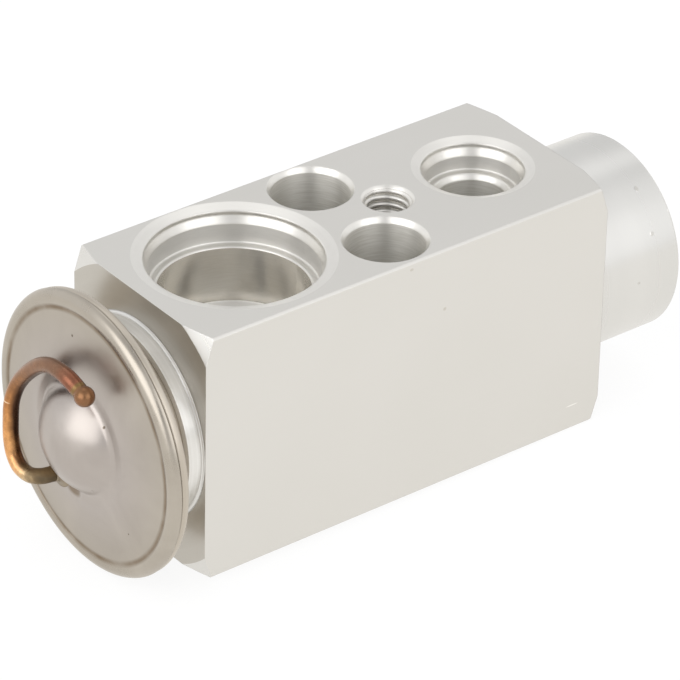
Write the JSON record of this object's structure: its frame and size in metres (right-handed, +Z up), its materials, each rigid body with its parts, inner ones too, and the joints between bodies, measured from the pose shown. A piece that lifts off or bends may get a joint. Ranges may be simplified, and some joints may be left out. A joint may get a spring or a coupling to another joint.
{
  "type": "expansion valve",
  "caption": "Block-type thermostatic expansion valve: drilled aluminium block with a sealed, dome-capped power head and a round adjuster boss.",
  "frame": {"origin": "centre of the bounding box's foot: midway along and across the valve, level with the lowest point of the head's rim", "axes": "+Z up, out of the hose face; +X along the valve axis from the power head to the adjuster boss; +Y across the block"},
  "size_m": [0.0888, 0.037, 0.037],
  "materials": {
    "block_aluminium": "extruded flanks, turned ends, drilled ports",
    "stainless_cover": "pressed sheet, satin, slight heat tint along the weld",
    "stainless_base": "turned and welded",
    "spring_steel": "drawn, plain",
    "ground_steel": "ground and polished",
    "inner_aluminium": "turned",
    "brass_turned": "turned",
    "tube_copper": "drawn copper, oxidised reddish brown by brazing",
    "seal_rubber": "moulded, matt"
  },
  "bodies": {
    "housing": {"valve_body": "block_aluminium", "head_cover": "stainless_cover", "diaphragm": "spring_steel", "head_base": "stainless_base", "head_seal": "seal_rubber", "charging_tube": "tube_copper", "rod_seal": "seal_rubber", "seal_retainer": "brass_turned"},
    "valve_train": {"stop_plate": "inner_aluminium", "sensing_rod": "inner_aluminium", "operating_pin": "ground_steel", "valve_ball": "ground_steel", "ball_carrier": "stainless_base", "damping_clip": "spring_steel"},
    "adjuster_feed": {"adjuster_seal": "seal_rubber", "return_spring": "spring_steel"},
    "adjuster": {"adjusting_screw": "brass_turned"}
  },
  "joints": [
    {"name": "valve_lift", "type": "slide", "parent": "housing", "child": "valve_train", "axis": [1, 0, 0], "range_m": [-0.0007, 0], "stiffness_N_per_m": 2000, "deforming": ["diaphragm", "return_spring"]},
    {"name": "adjuster_advance", "type": "slide", "parent": "housing", "child": "adjuster_feed", "axis": [-1, 0, 0], "range_m": [-0.001, 0.001], "deforming": ["return_spring"]},
    {"name": "adjuster_turn", "type": "hinge", "parent": "adjuster_feed", "child": "adjuster", "pos_m": [0.0399, 0, 0.0185], "axis": [-1, 0, 0], "range_deg": [-360, 360]}
  ],
  "couplings": [
    {"joint": "adjuster_advance", "follows": "adjuster_turn", "m_per_rad": 0.00015915}
  ]
}
